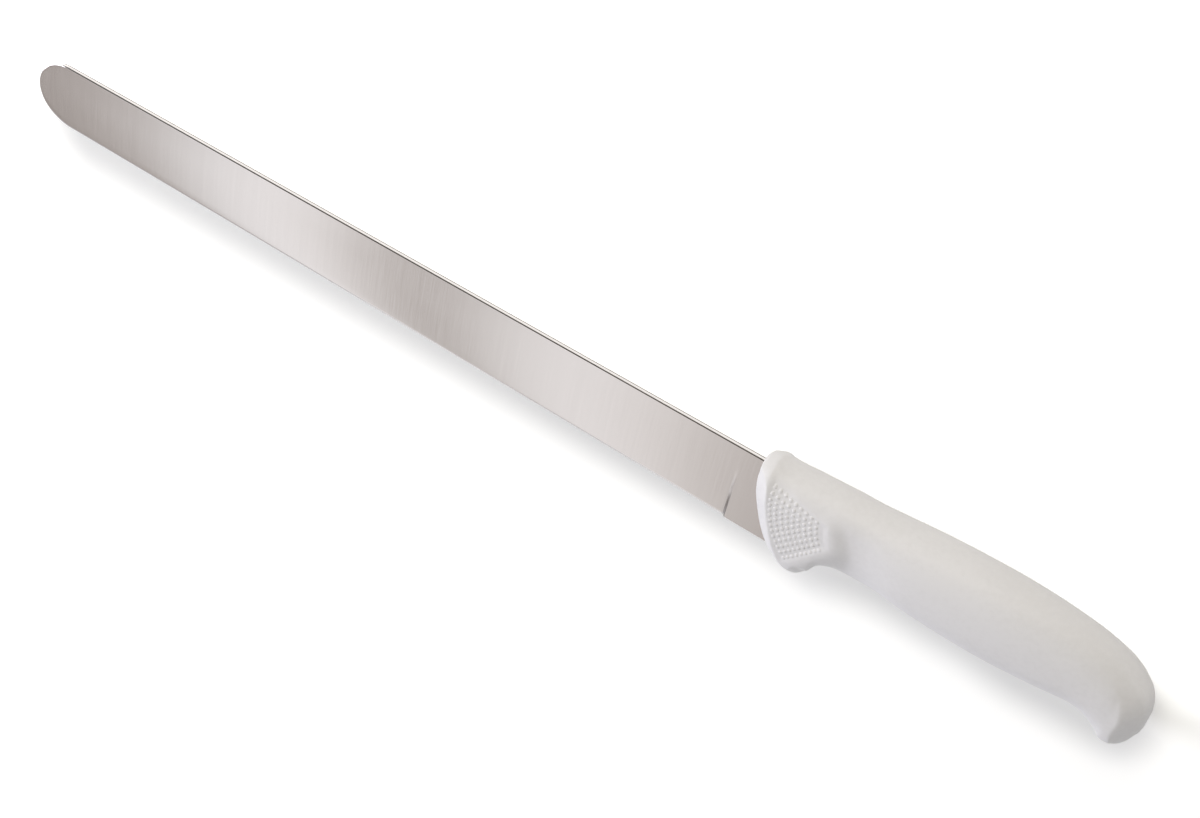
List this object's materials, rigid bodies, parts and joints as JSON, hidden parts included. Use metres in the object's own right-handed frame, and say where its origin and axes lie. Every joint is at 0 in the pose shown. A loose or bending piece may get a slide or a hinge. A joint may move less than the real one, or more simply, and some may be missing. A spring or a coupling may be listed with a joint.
{
  "type": "carving knife",
  "caption": "Long straight slicing knife with a full-round tip, moulded on a white handle with a finger guard, dimpled finger grips and a hooked pommel.",
  "frame": {"origin": "under the middle of the whole knife as it lies on its side: centre of the bounding box in X and Y, lowest point of the handle's side in Z", "axes": "+X along the knife from the tip to the pommel, +Y across the blade from the cutting edge to the spine, +Z out of the blade's upper face"},
  "size_m": [0.449, 0.0444, 0.0248],
  "materials": {
    "blade_steel": "satin ground stainless steel, fine grinding lines across the blade",
    "core_plastic": "natural polypropylene, as moulded, hidden",
    "grip_plastic": "white polypropylene with a fine matt mould texture"
  },
  "bodies": {
    "root": {"blade": "blade_steel", "handle_core": "core_plastic", "handle_grip": "grip_plastic"}
  },
  "joints": []
}
